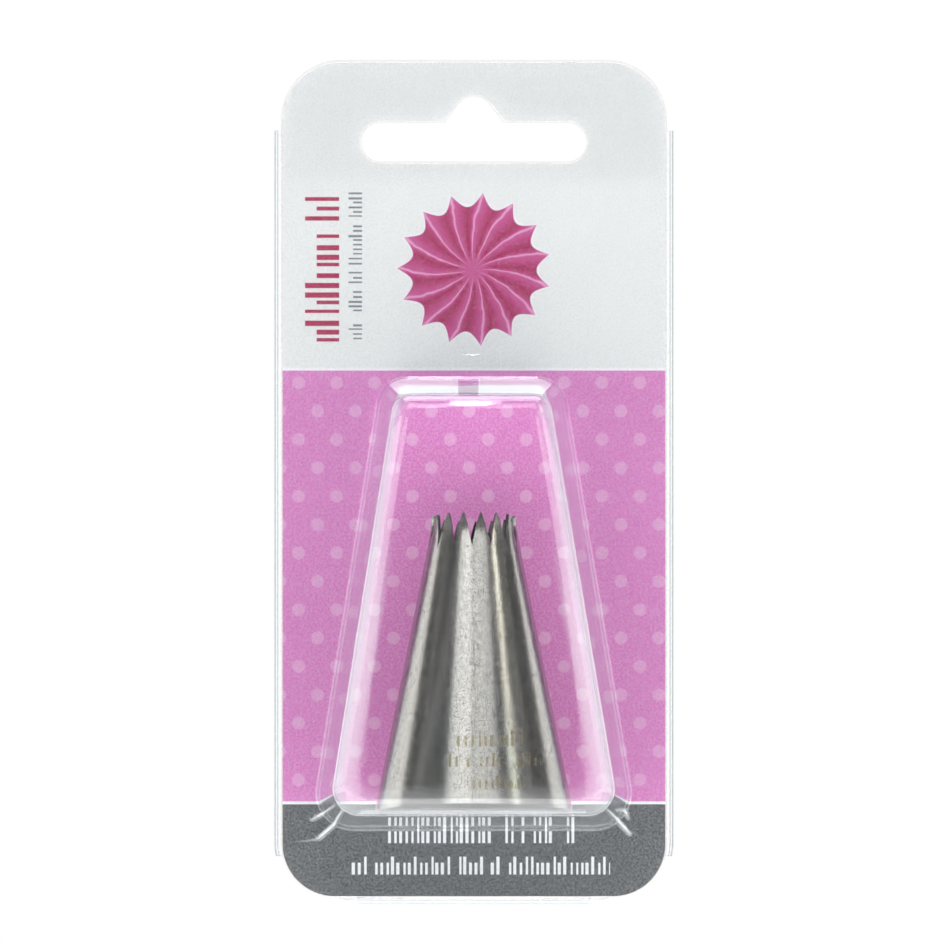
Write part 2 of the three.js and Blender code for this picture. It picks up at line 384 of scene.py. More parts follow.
def build_dome(builder):
    """The apron, walls, rounded edge and bulging front. Returns the outermost outline."""
    profile, (edge_inset, edge_y, lean) = dome_profile()
    outlines = [dome_outline(inset) for inset, _ in profile]
    rim_outline = dome_outline(edge_inset)
    within = dome_outline(edge_inset + 0.1 * MM)
    backs = [crown(p)[0] for p in rim_outline]
    rows = []
    for step, (outline, (_, y)) in enumerate(zip(outlines, profile)):
        ring = ring_3d(outline, y)
        marks = None
        if 0 < step < WEB_END_ROW:
            fade = min(1, step / WEB_FADE_ROWS, (WEB_END_ROW - step) / WEB_FADE_ROWS)
            lifts = [web_lift(p) * fade for p in ring]
            ring = [p - Vector((0, lift, 0)) for p, lift in zip(ring, lifts)]
            # A painted highlight on the wrinkles, whiter the more they stand out.
            marks = [WEB_GLINT * min(1, lift / WEB_GLINT_LIFT) for lift in lifts]
        share = max(0, (y - SHEET_FACE) / (edge_y - SHEET_FACE))
        ring = [p + Vector((0, back * share ** 2, 0)) for p, back in zip(ring, backs)]
        rows.append(builder.row(ring, marks))

    slopes = [crown(p)[1].dot((p - q).normalized()) for p, q in zip(rim_outline, within)]
    outward = [(p - q).normalized() for p, q in zip(rim_outline, within)]
    for s in range(EDGE_ROWS + 1):
        ring = []
        inward = 1 - math.cos(math.radians(90 * s / EDGE_ROWS))
        # The rounded edge's whitening is partly a painted reflection of the lamps.
        marks = [edge_cloud_and_sheen(p, out, inward) for p, out in zip(rim_outline, outward)]
        for i, (slope, back) in enumerate(zip(slopes, backs)):
            turn = lean + (math.pi / 2 - math.atan(slope) - lean) * s / EDGE_ROWS
            at = dome_point(edge_inset - DOME_EDGE_RADIUS * math.cos(turn), i)
            ring.append(Vector((at.x, edge_y + back - DOME_EDGE_RADIUS * math.sin(turn), at.y)))
        rows.append(builder.row(ring, marks))
    rim = ring
    for s in range(1, FRONT_ROWS):
        share = s / FRONT_ROWS
        ring = []
        for p in rim:
            start = Vector((p.x, p.z))
            flat = start.lerp(dome_middle(), share)
            level = p.y - crown(start)[0]
            front = level + (DOME_FRONT - level) * share
            ring.append(Vector((flat.x, front + crown(flat)[0], flat.y)))
        rows.append(builder.row(ring))
    for first, second in zip(rows, rows[1:]):
        builder.band(first, second)
    tip = builder.vertex(Vector((dome_middle().x, DOME_FRONT, dome_middle().y)))
    for i, a in enumerate(rows[-1]):
        builder.face([a, rows[-1][(i + 1) % len(rows[-1])], tip])
    return outlines[0]


_outline_cache = {}


def dome_point(inset, i):
    """Point i of the dome's outline at an inset."""
    key = round(inset / (0.002 * MM))
    if key not in _outline_cache:
        _outline_cache[key] = dome_outline(key * 0.002 * MM)
    return _outline_cache[key][i]


def fold_strip(builder, edge, outward):
    """Turns the sheet's edge round to the back and along a flap. edge runs along it."""
    middle = (edge[0] + edge[-1]) / 2
    half = (edge[-1] - edge[0]).length / 2
    rows = []
    for s in range(FOLD_ROWS + 1):
        turn = math.radians(-90 + 180 * s / FOLD_ROWS)
        out = outward * (FOLD_RADIUS * math.cos(turn))
        y = FOLD_RADIUS * math.sin(turn)
        rows.append([Vector((p.x + out.x, y, p.y + out.y)) for p in edge])
    for s in range(1, FLAP_ROWS + 1):
        share = s / FLAP_ROWS
        shrink = 1 - FLAP_MITRE * share / half
        row = []
        for p in edge:
            at = middle + (p - middle) * shrink - outward * (FLAP_WIDTH * share)
            row.append(Vector((at.x, FOLD_RADIUS, at.y)))
        rows.append(row)
    for first, second in zip(rows, rows[1:]):
        builder.band(builder.row(second), builder.row(first), closed=False)


def build_shell():
    """The clear sheet with its dome and folded edges, given its thickness."""
    builder = MeshBuilder()
    beside, beyond, exact = 0.5 * MM, 0.3 * MM, 0.01 * MM
    apron = build_dome(builder)
    outline = sheet_outline()
    builder.fill([outline, hanging_slot(SHEET_SLOT_GROWTH), apron], SHEET_FACE)
    for side in (-1, 1):
        edge = [p for p in outline if side * p.x > SHEET_HALF_WIDTH - beside]
        edge = [p for p in edge if SIDE_FOLD_BOTTOM - beyond < p.y < SIDE_FOLD_TOP + exact]
        edge.sort(key=lambda p: side * p.y)
        fold_strip(builder, edge, Vector((side, 0)))
    low = [p for p in outline if abs(p.x) < BOTTOM_FOLD_HALF + exact and p.y < SHEET_BOTTOM + exact]
    low.sort(key=lambda p: p.x)
    fold_strip(builder, low, Vector((0, -1)))
    skin = add_object(builder.mesh("blister_shell_skin"), 180)
    solid = skin.modifiers.new("thickness", "SOLIDIFY")
    solid.thickness = SHEET_THICKNESS
    solid.offset = -1
    bpy.context.view_layer.update()
    graph = bpy.context.evaluated_depsgraph_get()
    thick = bpy.data.meshes.new_from_object(
        skin.evaluated_get(graph), preserve_all_data_layers=True, depsgraph=graph)
    thick.name = "blister_shell_clear"
    bpy.data.objects.remove(skin)
    piece = add_object(thick, SHEET_SHARP_ANGLE)
    crease_folds(thick)
    return piece


def crease_folds(mesh):
    """Creases where the flat sheet meets its folds, so that the flat part shades as flat.

    The shortest edges are dissolved as well.
    """
    work = bmesh.new()
    work.from_mesh(mesh)
    for edge in work.edges:
        middle = (edge.verts[0].co + edge.verts[1].co) / 2
        border = abs(middle.x) > SHEET_HALF_WIDTH - MM or middle.z < SHEET_BOTTOM + MM
        flat = sum(abs(face.normal.y) > FLAT_NORMAL for face in edge.link_faces)
        if border and flat == 1:
            edge.smooth = False
    bmesh.ops.dissolve_degenerate(work, dist=SHORTEST_EDGE, edges=work.edges)
    work.to_mesh(mesh)
    work.free()


def sheet_outline():
    """The flat sheet's outline, with points where its folded edges begin and end."""
    outline = rounded_rectangle(
        SHEET_HALF_WIDTH, SHEET_BOTTOM, SHEET_TOP, SHEET_BOTTOM_RADIUS, CARD_TOP_RADIUS)
    right, left = (Vector((side * SHEET_HALF_WIDTH, SIDE_FOLD_TOP)) for side in (1, -1))
    ends = [Vector((side * BOTTOM_FOLD_HALF, SHEET_BOTTOM)) for side in (-1, 1)]
    one, three = CORNER_STEPS + 1, 3 * (CORNER_STEPS + 1)
    outline = outline[:one] + [right] + outline[one:three] + [left] + outline[three:] + ends
    return with_steps(outline, SHEET_LONGEST_SIDE)


def build_card():
    """The card, with its cut edges softened a little."""
    builder = MeshBuilder()
    soft = CARD_EDGE_SOFTNESS
    front, back = card_low.y, card_high.y
    depths = [(front, soft), (front + soft, 0), (back - soft, 0), (back, soft)]
    outers, holes = [], []
    for _, inset in depths:
        outers.append(rounded_rectangle(
            CARD_HALF_WIDTH - inset, card_low.z + inset, card_high.z - inset,
            CARD_BOTTOM_RADIUS - inset, CARD_TOP_RADIUS - inset))
        holes.append(hanging_slot(inset))
    for outlines, reverse in ((outers, False), (holes, True)):
        rows = [builder.row(ring_3d(o, y)) for o, (y, _) in zip(outlines, depths)]
        for first, second in zip(rows, rows[1:]):
            builder.band(*((second, first) if not reverse else (first, second)))
    builder.fill([outers[0], holes[0]], depths[0][0])
    builder.fill([outers[-1], holes[-1]], depths[-1][0], flip=True)
    return add_object(builder.mesh("backing_card_print"), CARD_SHARP_ANGLE)


def tooth_top(share):
    """Height of the toothed edge below the tips, for 0 at a notch's bottom and 1 at a tip."""
    return -NOTCH_DEPTH * (1 - share) ** NOTCH_CURVE


def nozzle_radius(height):
    """The outside radius at a height: one cone, then a steeper neck."""
    if height < NOZZLE_NECK_HEIGHT:
        share = height / NOZZLE_NECK_HEIGHT
        return NOZZLE_BASE_RADIUS + (NOZZLE_NECK_RADIUS - NOZZLE_BASE_RADIUS) * share
    share = (height - NOZZLE_NECK_HEIGHT) / (NOZZLE_HEIGHT - NOZZLE_NECK_HEIGHT)
    return NOZZLE_NECK_RADIUS + (NOZZLE_TIP_RADIUS - NOZZLE_NECK_RADIUS) * share


def build_nozzle():
    """The toothed cone: an outside and an inside surface, joined at the two rims."""
    steps = 12
    columns = TEETH * 2 * steps
    levels = 48
    builder = MeshBuilder()
    rows = {0: [], 1: []}
    for side in (0, 1):
        for level in range(levels + 1):
            row = []
            for column in range(columns):
                phase = (column % (2 * steps)) / steps
                share = phase if phase <= 1 else 2 - phase
                top = NOZZLE_HEIGHT + tooth_top(share)
                height = top * (level / levels)
                radius = nozzle_radius(height) - side * NOZZLE_WALL
                angle = 2 * math.pi * column / columns
                x, y = radius * math.sin(angle), -radius * math.cos(angle)
                row.append(Vector((x, y, height)))
            # Vertices inside are marked 1, where the steel gets painted shade.
            rows[side].append(builder.row(row, [side] * columns))
    for low, high in zip(rows[0], rows[0][1:]):
        builder.band(low, high)
    for low, high in zip(rows[1], rows[1][1:]):
        builder.band(high, low)
    builder.band(rows[0][-1], rows[1][-1])
    builder.band(rows[1][0], rows[0][0])
    mesh = builder.mesh("star_nozzle_steel")
    base_z = nozzle_low.z + NOZZLE_BASE_RADIUS * math.sin(NOZZLE_LEAN)
    base = Matrix.Translation(Vector((0, (nozzle_low.y + nozzle_high.y) / 2, base_z)))
    lean = Matrix.Rotation(-NOZZLE_LEAN, 4, "X")
    turn = Matrix.Rotation(NOZZLE_TURN, 4, "Z")
    mesh.transform(base @ lean @ turn)
    return add_object(mesh, NOZZLE_SHARP_ANGLE)


# ---------------------------------------------------------------- materials


def srgb(red, green, blue):
    """An 8-bit screen colour as the linear colour that shaders use."""
    def linear(c):
        c /= 255
        return c / 12.92 if c <= 0.04045 else ((c + 0.055) / 1.055) ** 2.4
    return (linear(red), linear(green), linear(blue), 1)


class Graph:
    """A short way to write a material's nodes. A value can be a number or a socket."""

    def __init__(self, name):
        self.material = bpy.data.materials.new(name)
        self.material.use_nodes = True
        self.nodes = self.material.node_tree.nodes
        self.nodes.clear()
        self.output = self.nodes.new("ShaderNodeOutputMaterial")
        place = self.nodes.new("ShaderNodeTexCoord").outputs["Object"]
        self.mm = self.vector("SCALE", place, scale=1 / MM)
        self.x, self.y, self.z = self.split(self.mm)

    def put(self, socket, value):
        if isinstance(value, bpy.types.NodeSocket):
            self.material.node_tree.links.new(value, socket)
        else:
            socket.default_value = value

    def math(self, operation, *values):
        node = self.nodes.new("ShaderNodeMath")
        node.operation = operation
        for socket, value in zip(node.inputs, values):
            self.put(socket, value)
        return node.outputs[0]

    def vector(self, operation, *values, scale=None):
        node = self.nodes.new("ShaderNodeVectorMath")
        node.operation = operation
        for socket, value in zip(node.inputs, values):
            self.put(socket, value)
        if scale is not None:
            node.inputs["Scale"].default_value = scale
        return node.outputs[0]

    def split(self, socket):
        node = self.nodes.new("ShaderNodeSeparateXYZ")
        self.put(node.inputs[0], socket)
        return node.outputs[:]

    def ramp(self, value, start, end, low=0.0, high=1.0):
        """A smooth change from low to high as value goes from start to end."""
        node = self.nodes.new("ShaderNodeMapRange")
        node.interpolation_type = "SMOOTHSTEP"
        for socket, number in zip(node.inputs, (value, start, end, low, high)):
            self.put(socket, number)
        return node.outputs[0]

    def mix(self, factor, first, second):
        node = self.nodes.new("ShaderNodeMix")
        node.data_type = "RGBA"
        for index, value in ((0, factor), (6, first), (7, second)):
            self.put(node.inputs[index], value)
        return node.outputs[2]

    def mark(self):
        """The number that the mesh keeps at each vertex."""
        node = self.nodes.new("ShaderNodeAttribute")
        node.attribute_name = MARK
        return node.outputs["Fac"]

    def noise(self, place, scale, detail=2.0, roughness=0.5):
        node = self.nodes.new("ShaderNodeTexNoise")
        values = {"Vector": place, "Scale": scale, "Detail": detail, "Roughness": roughness}
        for name, value in values.items():
            self.put(node.inputs[name], value)
        return node.outputs["Fac"]

    def random(self, value):
        node = self.nodes.new("ShaderNodeTexWhiteNoise")
        node.noise_dimensions = "1D"
        self.put(node.inputs["W"], value)
        return node.outputs["Value"]

    def bump(self, height, strength, distance, normal=None):
        node = self.nodes.new("ShaderNodeBump")
        self.put(node.inputs["Height"], height)
        node.inputs["Strength"].default_value = strength
        node.inputs["Distance"].default_value = distance * MM
        if normal is not None:
            self.put(node.inputs["Normal"], normal)
        return node.outputs[0]

    def shader(self, kind, **values):
        node = self.nodes.new(kind)
        for name, value in values.items():
            self.put(node.inputs[name.replace("_", " ")], value)
        return node.outputs[0]

    def mix_shaders(self, factor, first, second):
        node = self.nodes.new("ShaderNodeMixShader")
        for socket, value in zip(node.inputs, (factor, first, second)):
            self.put(socket, value)
        return node.outputs[0]

    def finish(self, surface):
        self.put(self.output.inputs["Surface"], surface)
        return self.material


def either(g, first, second):
    return g.math("MAXIMUM", first, second)


def both(g, first, second):
    return g.math("MULTIPLY", first, second)


def dot_pattern(g, radius, column_pitch, row_pitch, start_x, start_z):
    """Dots on alternate rows, each row half a pitch along from the last."""
    nearest = None
    for shift in (0, 0.5):
        along = g.math("MULTIPLY_ADD", g.x, 1 / column_pitch, 0.5 - start_x / column_pitch - shift)
        down = g.math("MULTIPLY_ADD", g.z, 0.5 / row_pitch, 0.5 - start_z * 0.5 / row_pitch - shift)
        across = g.math("MULTIPLY_ADD", g.math("FRACT", along), column_pitch, -column_pitch / 2)
        up = g.math("MULTIPLY_ADD", g.math("FRACT", down), 2 * row_pitch, -row_pitch)
        gap = g.math("SQRT", g.math("ADD", both(g, across, across), both(g, up, up)))
        nearest = gap if nearest is None else g.math("MINIMUM", nearest, gap)
    return g.ramp(nearest, radius + 0.07, radius - 0.07)


def tick_line(g, along, up, start, end, pitch, height, stroke, seed, gap=0.16):
    """A line of plain upright ticks with gaps, standing where a pack has its wording."""
    cell = g.math("MULTIPLY_ADD", along, 1 / pitch, -start / pitch)
    index = g.math("FLOOR", cell)
    lean, size, shown = (g.random(g.math("ADD", index, seed + step)) for step in (0.2, 0.4, 0.6))
    across = g.math("MULTIPLY_ADD", g.math("FRACT", cell), pitch, -pitch / 2)
    sway = g.math("SUBTRACT", lean, 0.5)
    across = g.math("ABSOLUTE", g.math("MULTIPLY_ADD", sway, 0.3 * pitch, across))
    across = g.math("SUBTRACT", across, g.math("MULTIPLY_ADD", lean, 0.25 * stroke, 0.38 * stroke))
    tall = g.math("GREATER_THAN", size, 0.7)
    half = g.math("MULTIPLY_ADD", tall, 0.17 * height, 0.33 * height)
    off = g.math("SUBTRACT", g.math("ABSOLUTE", g.math("SUBTRACT", up, half)), half)
    body = both(g, g.ramp(across, 0.05, -0.05), g.ramp(off, 0.05, -0.05))
    inside = both(g, g.math("GREATER_THAN", along, start), g.math("LESS_THAN", along, end))
    return both(g, both(g, body, g.math("GREATER_THAN", shown, gap)), inside)


def rosette(g, centre_z, ground):
    """A piped swirl seen from above, printed over the ground colour."""
    tips, tip, valley = TEETH, 10.8, 8.8
    first_tip, swirl_start, swirl_gain = 6.7, -9.7, 16.4
    up = g.math("SUBTRACT", g.z, centre_z)
    radius = g.math("SQRT", g.math("ADD", both(g, g.x, g.x), both(g, up, up)))
    turn = g.math("MULTIPLY", g.math("ARCTAN2", g.x, up), 180 / math.pi)
    sector = 360 / tips

    near = g.math("MULTIPLY_ADD", turn, 1 / sector, 40.5 - first_tip / sector)
    off_tip = g.math("ABSOLUTE", g.math("SUBTRACT", g.math("FRACT", near), 0.5))
    off_tip = g.math("MULTIPLY", off_tip, 2)
    reach = g.math("POWER", g.math("SUBTRACT", 1, off_tip), 2.1)
    edge = g.math("MULTIPLY_ADD", reach, tip - valley, valley)
    beyond = g.math("SUBTRACT", radius, edge)

    wobble = g.math("MULTIPLY", g.math("SUBTRACT", g.noise(g.mm, 0.5), 0.5), 5)
    phase = g.math("MULTIPLY_ADD", radius, swirl_gain / tip, swirl_start)
    twist = g.math("ADD", g.math("SUBTRACT", turn, phase), wobble)
    share = g.math("FRACT", g.math("MULTIPLY_ADD", twist, 1 / sector, 40))
    ramp = g.nodes.new("ShaderNodeValToRGB")
    g.put(ramp.inputs[0], share)
    ridge, light = srgb(236, 158, 202), srgb(204, 80, 148)
    mid, deep = srgb(189, 44, 120), srgb(166, 8, 82)
    stops = [(0.035, ridge), (0.09, light), (0.42, mid), (0.68, deep), (0.88, mid), (0.955, light)]
    elements = ramp.color_ramp.elements
    elements[1].position, elements[1].color = 1, ridge
    elements[0].color = ridge
    for position, colour in stops:
        elements.new(position).color = colour
    body = ramp.outputs[0]
    crumb = g.noise(g.mm, 3)
    inward = g.math("MULTIPLY", radius, -1)
    heart = g.ramp(g.math("MULTIPLY_ADD", crumb, 2.2, inward), -1.4, -0.2)
    body = g.mix(g.math("MULTIPLY", heart, 0.8), body, srgb(206, 84, 150))
    body = g.mix(g.ramp(beyond, -0.25, 0.0, 0, 0.55), body, srgb(172, 90, 140))
    halo = g.mix(g.ramp(beyond, 0.1, 0.5, 0.75, 0), ground, srgb(250, 246, 250))
    return g.mix(g.ramp(beyond, 0.06, -0.06), halo, body)


def front_print(g):
    """The front of the card: a pale head, a dotted pink field and a grey foot."""
    foot_top, field_bottom, field_top, head_bottom = -99.55, -99.15, -38.7, -38.3
    head, white = srgb(240, 239, 238), srgb(252, 252, 253)
    pink, dot, grey = srgb(222, 123, 195), srgb(233, 166, 213), srgb(92, 94, 96)
    mottle = g.noise(g.mm, 2.2, 3)
    pink_field = g.mix(g.ramp(mottle, 0.3, 0.7, 0, 0.16), pink, srgb(228, 140, 206))
    dots = dot_pattern(g, 0.9, 5.32, 3.98, -24.6, -40.4)
    pink_field = g.mix(g.math("MULTIPLY", dots, 0.9), pink_field, dot)
    grain = g.noise(g.mm, 3.4, 1, 0.5)
    foot = g.mix(g.ramp(grain, 0.3, 0.7), srgb(64, 66, 69), srgb(116, 118, 120))
    foot = g.mix(g.ramp(mottle, 0.3, 0.7, 0, 0.5), foot, grey)
    pink_field = g.mix(g.ramp(grain, 0.35, 0.7, 0, 0.3), pink_field, srgb(243, 205, 235))
    lines = either(
        g,
        tick_line(g, g.x, g.math("SUBTRACT", g.z, -105.0), -12.2, 14.1, 0.78, 2.5, 0.36, 3.0),
        tick_line(g, g.x, g.math("SUBTRACT", g.z, -109.4), -17.2, 19.1, 0.78, 2.5, 0.36, 71.0),
    )
    foot = g.mix(lines, foot, white)

    top = rosette(g, -24.5, head)
    up = g.math("SUBTRACT", -18.9, g.x)
    mark = tick_line(g, g.z, up, -35.2, -14.0, 1.32, 4.8, 0.62, 11.0, gap=0.06)
    top = g.mix(mark, top, srgb(176, 16, 78))
    up = g.math("SUBTRACT", -15.7, g.x)
    note = tick_line(g, g.z, up, -34.6, -13.6, 0.66, 1.9, 0.26, 29.0)
    top = g.mix(note, top, srgb(122, 127, 132))

    colour = g.mix(g.math("GREATER_THAN", g.z, foot_top), foot, white)
    colour = g.mix(g.math("GREATER_THAN", g.z, field_bottom), colour, pink_field)
    colour = g.mix(g.math("GREATER_THAN", g.z, field_top), colour, white)
    return g.mix(g.math("GREATER_THAN", g.z, head_bottom), colour, top)


def back_print(g):
    """The back of the card: pale board with a pink foot and a few short lines."""
    board, foot_top = srgb(226, 227, 225), -99.4
    along = g.math("MULTIPLY", g.x, -1)
    lines = None
    for row in range(7):
        up = g.math("SUBTRACT", g.z, -36.0 - 4.4 * row)
        line = tick_line(g, along, up, -17.5, 16.5 - 5.5 * (row % 3), 0.7, 1.9, 0.3, 7.0 * row + 1)
        lines = line if lines is None else either(g, lines, line)
    colour = g.mix(lines, board, srgb(88, 91, 94))
    return g.mix(g.math("LESS_THAN", g.z, foot_top), colour, srgb(214, 150, 194))


def printed_card():
    """Printed board: the front and the back have their print, the cut edges show the core."""
    g = Graph("printed_card")
    core, print_depth = srgb(236, 232, 224), 0.235
    fibre = g.noise(g.mm, 9, 4, 0.6)
    front = g.math("LESS_THAN", g.y, -print_depth)
    back = g.math("GREATER_THAN", g.y, print_depth)
    core = g.mix(g.ramp(fibre, 0.35, 0.65), core, srgb(214, 208, 198))
    colour = g.mix(front, g.mix(back, core, back_print(g)), front_print(g))
    speck = g.noise(g.mm, 6.5, 2, 0.7)
    colour = g.mix(g.ramp(speck, 0.62, 0.8, 0, 0.16), colour, srgb(255, 255, 255))
    colour = g.mix(g.ramp(speck, 0.4, 0.24, 0, 0.18), colour, srgb(60, 50, 58))
    normal = g.bump(fibre, 0.25, 0.02)
    rough = g.ramp(fibre, 0.3, 0.7, 0.42, 0.58)
    return g.finish(g.shader(
        "ShaderNodeBsdfPrincipled", Base_Color=colour, Roughness=rough,
        Specular_IOR_Level=0.25, Normal=normal))


def end_wall_painted_highlight(g):
    """Where the upper end wall of the dome is whitened as a painted highlight of the lamps in
    front, clear again near its middle, where those lamps leave a gap.
    """
    low, back = DOME_TOP / MM - 2.25, SHEET_FACE / MM - 1.0
    front = (DOME_FRONT + DOME_EDGE_RADIUS) / MM + 0.4
    wall = both(g, g.ramp(g.z, low - 0.05, low + 0.05), g.ramp(g.y, back, back - 0.4))
    wall = both(g, wall, g.ramp(g.y, front - 0.2, front + 0.3))
    slant = g.math("ABSOLUTE", g.math("SUBTRACT", g.z, DOME_TOP / MM - 0.95))
    reach = g.math("ADD", g.math("ABSOLUTE", g.math("ADD", g.x, 0.5)), slant)
    ends = g.ramp(reach, 11.5, 11.2)
    ragged = g.math("MULTIPLY", g.math("SUBTRACT", g.noise(g.mm, 1.3, 3, 0.7), 0.5), 0.9)
    gap = g.math("ADD", g.math("ABSOLUTE", g.math("ADD", g.x, 0.78)), ragged)
    return both(g, both(g, wall, ends), g.ramp(gap, 1.3, 1.6))


def clear_sheet():
    """Thin clear plastic: what is behind shows through, less where it turns away. Its whitening
    carries painted highlights on the upper end wall, the rounded edge and the wrinkles.
    """
    g = Graph("clear_shell")
    head_on, haze_depth, painted_highlight_depth = 0.045, 0.008, 0.2
    contact, border_x, border_z = -1.3, 26.4, -12
    weight = g.nodes.new("ShaderNodeLayerWeight")
    weight.inputs["Blend"].default_value = 0.5
    turned = weight.outputs["Facing"]
    mirror = g.math("MULTIPLY_ADD", g.math("POWER", turned, 5), 1 - head_on, head_on)
    wave = g.noise(g.mm, 0.12, 1)
    scuff = g.noise(g.mm, 5.5, 3, 0.65)
    normal = g.bump(scuff, 0.03, 0.03, g.bump(wave, 0.15, 0.4))
    tint = g.mix(g.ramp(turned, 0.02, 0.5), srgb(253, 253, 253), srgb(230, 234, 236))
    touching = g.math("GREATER_THAN", g.y, contact)
    beside = g.math("GREATER_THAN", g.math("ABSOLUTE", g.x), border_x)
    border = either(g, beside, g.math("GREATER_THAN", g.z, border_z))
    tint = g.mix(both(g, border, g.ramp(turned, 0.3, 0.85)), tint, srgb(178, 184, 188))
    through = g.shader("ShaderNodeBsdfTransparent", Color=tint)
    haze_and_sheen = g.shader("ShaderNodeBsdfDiffuse", Color=srgb(244, 246, 248), Normal=normal)
    shine = g.shader(
        "ShaderNodeBsdfAnisotropic", Color=(1, 1, 1, 1), Roughness=0.035, Normal=normal)
    facing = g.math("MAXIMUM", g.math("SUBTRACT", 1, turned), 0.03)
    # The end wall's whitening here is a painted highlight.
    depth = g.math("MULTIPLY_ADD", end_wall_painted_highlight(g), -painted_highlight_depth, -haze_depth)
    cloudy_and_sheen = g.math("SUBTRACT", 1, g.math("EXPONENT", g.math("DIVIDE", depth, facing)))
    specks = both(g, touching, g.ramp(g.noise(g.mm, 3.6, 1, 0.5), 0.4, 0.62, 0, 0.05))
    # The mesh's marks add the painted sheen on the dome's edge and the painted glints on its
    # wrinkles.
    cloudy_and_sheen = either(g, either(g, cloudy_and_sheen, specks), g.mark())
    body = g.mix_shaders(cloudy_and_sheen, through, haze_and_sheen)
    return g.finish(g.mix_shaders(mirror, body, shine))


def stainless_steel():
    """Grained, blotched and scratched steel, with painted shade inside, with lines etched at the
    front.
    """
    g = Graph("stainless_steel")
    grain = g.noise(g.mm, 6.5, 2, 0.7)
    blotch = g.noise(g.mm, 1.3, 3, 0.6)
    metal = g.mix(g.ramp(blotch, 0.3, 0.7), srgb(173, 171, 165), srgb(188, 186, 180))
    metal = g.mix(g.ramp(grain, 0.5, 0.68, 0, 0.8), metal, srgb(102, 99, 92))
    # Painted shade: the inside of the nozzle is darkened.
    metal = g.mix(g.math("MULTIPLY", g.mark(), 0.85), metal, srgb(44, 42, 40))
    scratches = None
    for turn, seed in ((0.35, 3.0), (-0.6, 17.0), (1.2, 41.0)):
        node = g.nodes.new("ShaderNodeMapping")
        g.put(node.inputs["Vector"], g.mm)
        node.inputs["Location"].default_value = (seed, seed, seed)
        node.inputs["Rotation"].default_value = (0, turn, 0)
        node.inputs["Scale"].default_value = (6, 1.0, 0.22)
        line = g.ramp(g.noise(node.outputs[0], 1.5, 0), 0.775, 0.79)
        scratches = line if scratches is None else either(g, scratches, line)
    metal = g.mix(g.math("MULTIPLY", scratches, 0.5), metal, srgb(96, 92, 86))

    marks = None
    stroke, front_side = 0.42, -16
    rows = (
        (-2.6, 7.2, -91.1, 0.95, 2.3, 5.0),
        (-4.6, 9.3, -93.9, 0.85, 1.9, 23.0),
        (-0.6, 7.1, -97.0, 0.9, 1.9, 47.0),
    )
    for start, end, base, pitch, height, seed in rows:
        up = g.math("SUBTRACT", g.z, base)
        line = tick_line(g, g.x, up, start, end, pitch, height, stroke, seed, gap=0.1)
        marks = line if marks is None else either(g, marks, line)
    marks = both(g, marks, g.math("LESS_THAN", g.y, front_side))
    etched = both(g, marks, g.ramp(g.noise(g.mm, 4, 2), 0.35, 0.6, 0.15, 0.75))
    metal = g.mix(etched, metal, srgb(150, 134, 84))

    rough = g.ramp(blotch, 0.3, 0.7, 0.18, 0.23)
    rough = g.math("MULTIPLY_ADD", etched, 0.2, rough)
    height = g.math("SUBTRACT", grain, g.math("MULTIPLY", scratches, 0.5))
    normal = g.bump(height, 0.2, 0.01, g.bump(blotch, 0.1, 0.03))
    return g.finish(g.shader(
        "ShaderNodeBsdfPrincipled", Base_Color=metal, Metallic=1.0, Roughness=rough, Normal=normal))


def floor_surface():
    """Matt and pale, and as pale where few lamps reach it, without lighting the pack."""
    g = Graph("pale_floor")
    glow_strength = 0.62
    tone = g.mix(g.noise(g.mm, 0.004, 2), srgb(238, 238, 238), srgb(244, 244, 244))
    matt = g.shader("ShaderNodeBsdfPrincipled", Base_Color=tone, Roughness=0.8)
    seen = g.nodes.new("ShaderNodeLightPath").outputs["Is Camera Ray"]
    strength = g.math("MULTIPLY", seen, glow_strength)
    glow = g.shader("ShaderNodeEmission", Color=tone, Strength=strength)
    total = g.nodes.new("ShaderNodeAddShader")
    g.put(total.inputs[0], matt)
    g.put(total.inputs[1], glow)
    return g.finish(total.outputs[0])


# ---------------------------------------------------------------- studio


def direction(azimuth, elevation):
    """Unit vector towards an azimuth, 0 at the front and 90 at +X, and an elevation."""
    a, e = math.radians(azimuth), math.radians(elevation)
    return Vector((math.sin(a) * math.cos(e), -math.cos(a) * math.cos(e), math.sin(e)))


def lamp(name, towards, width, height, radiance, distance, colour):
    """A soft rectangular lamp facing the pack, with its size in metres."""
    light = bpy.data.lights.new(name, "AREA")
    light.shape = "RECTANGLE"
    light.size, light.size_y = width, height
    light.energy = BRIGHTNESS * radiance * math.pi * width * height
    light.color = colour
    holder = bpy.data.objects.new(name, light)
    holder.location = VIEW_CENTRE + towards * distance
    holder.rotation_mode = "QUATERNION"
    holder.rotation_quaternion = towards.to_track_quat("Z", "Y")
    holder.visible_camera = False
    bpy.context.scene.collection.objects.link(holder)


def softbox(name, azimuths, elevations, radiance, colour=(1, 1, 1), distance=1.6):
    """A lamp that covers a range of azimuth and elevation, in degrees, as the pack sees it."""
    azimuth, elevation = sum(azimuths) / 2, sum(elevations) / 2
    across, up = azimuths[1] - azimuths[0], elevations[1] - elevations[0]
    width = 2 * distance * math.tan(math.radians(across / 2)) * math.cos(math.radians(elevation))
    height = 2 * distance * math.tan(math.radians(up / 2))
    lamp(name, direction(azimuth, elevation), width, height, radiance, distance, colour)


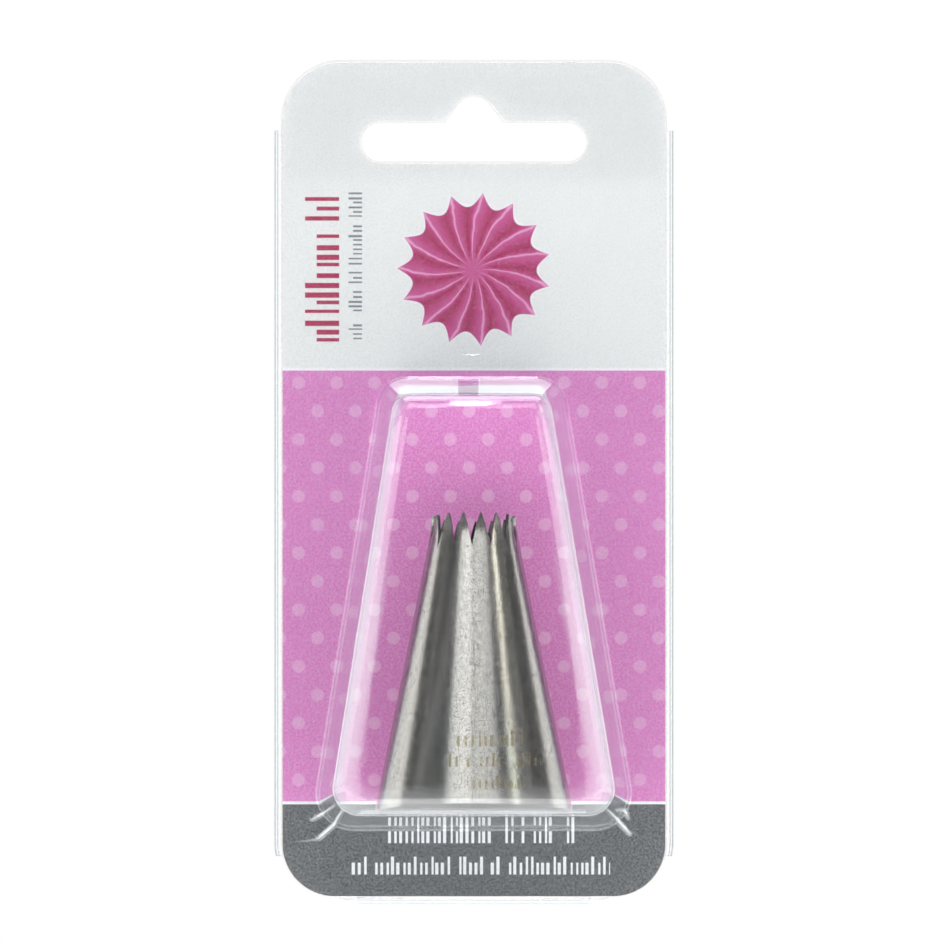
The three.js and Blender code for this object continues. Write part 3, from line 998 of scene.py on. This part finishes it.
def light_studio():
    """Soft lamps round the pack, and a room that is white to the eye but gives little light."""
    warm, white = (1.0, 0.97, 0.86), (1, 1, 1)
    softbox("front_left", (-39, -2), (28, 56), 2.2)
    softbox("front_right", (-2, 37), (28, 56), 1.5)
    softbox("thin_strip", (51, 60), (16, 44), 3.4, warm)
    softbox("spot_above", (-4, 4), (45, 72), 13.0)
    softbox("side_left", (-166, -102), (-10, 42), 1.5)
    softbox("side_right", (112, 166), (-10, 42), 1.5)
    softbox("low_fill", (-50, 50), (-46, -18), 1.25, distance=0.42)
    for side, name in ((-1, "left"), (1, "right")):
        softbox(f"low_front_{name}", sorted((side * 15, side * 50)), (-18, 6), 1.2, distance=0.8)
        softbox(f"low_side_{name}", sorted((side * 50, side * 102)), (-18, 10), 2.2, distance=0.8)
    lamp("overhead", Vector((0, 0.12, 1)).normalized(), 1.8, 0.6, 7.0, 1.4, white)
    lamp("underneath", Vector((-0.02, 0.1, -1)).normalized(), 0.11, 0.3, 2.6, 0.355, white)
    softbox("behind", (150, 210), (15, 55), 0.6, distance=2.2)

    world = bpy.data.worlds.new("white_room")
    world.use_nodes = True
    tree = world.node_tree
    tree.nodes.clear()
    seen, ambient = (tree.nodes.new("ShaderNodeBackground") for _ in range(2))
    seen.inputs["Color"].default_value = (1, 1, 1, 1)
    ambient.inputs["Color"].default_value = (0.97, 0.98, 1.0, 1)
    ambient.inputs["Strength"].default_value = 0.04
    path = tree.nodes.new("ShaderNodeLightPath")
    mix = tree.nodes.new("ShaderNodeMixShader")
    tree.links.new(path.outputs["Is Camera Ray"], mix.inputs[0])
    tree.links.new(ambient.outputs[0], mix.inputs[1])
    tree.links.new(seen.outputs[0], mix.inputs[2])
    tree.links.new(mix.outputs[0], tree.nodes.new("ShaderNodeOutputWorld").inputs[0])
    bpy.context.scene.world = world


def lay_floor():
    """A pale round floor, well below the hanging pack."""
    drop, radius, sides = 0.3, 4.0, 96
    floor_z = shell_low.z - drop
    turns = [2 * math.pi * k / sides for k in range(sides)]
    rim = [(radius * math.cos(turn), radius * math.sin(turn), floor_z) for turn in turns]
    mesh = bpy.data.meshes.new("floor")
    mesh.from_pydata(rim, [], [list(range(sides))])
    mesh.materials.append(floor_surface())
    floor = bpy.data.objects.new("floor", mesh)
    bpy.context.scene.collection.objects.link(floor)


def set_camera():
    lens = bpy.data.cameras.new("camera")
    lens.sensor_width = SENSOR_WIDTH
    lens.lens = SENSOR_WIDTH * CAMERA_DISTANCE / VIEW_WIDTH
    lens.clip_start, lens.clip_end = 0.1, 20
    camera = bpy.data.objects.new("camera", lens)
    camera.location = VIEW_CENTRE + Vector((0, -CAMERA_DISTANCE, 0))
    camera.rotation_euler = (math.radians(90), 0, 0)
    bpy.context.scene.collection.objects.link(camera)
    bpy.context.scene.camera = camera


def dress(piece, material, body, node):
    piece.data.materials.clear()
    piece.data.materials.append(material)
    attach(piece, body)
    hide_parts(node)


set_camera()
light_studio()
lay_floor()
scene = bpy.context.scene
scene.view_settings.view_transform = "Standard"
scene.cycles.transparent_max_bounces = 24

dress(build_card(), printed_card(), "card", "backing_card")
dress(build_nozzle(), stainless_steel(), "nozzle", "star_nozzle")
dress(build_shell(), clear_sheet(), "shell", "blister_shell")
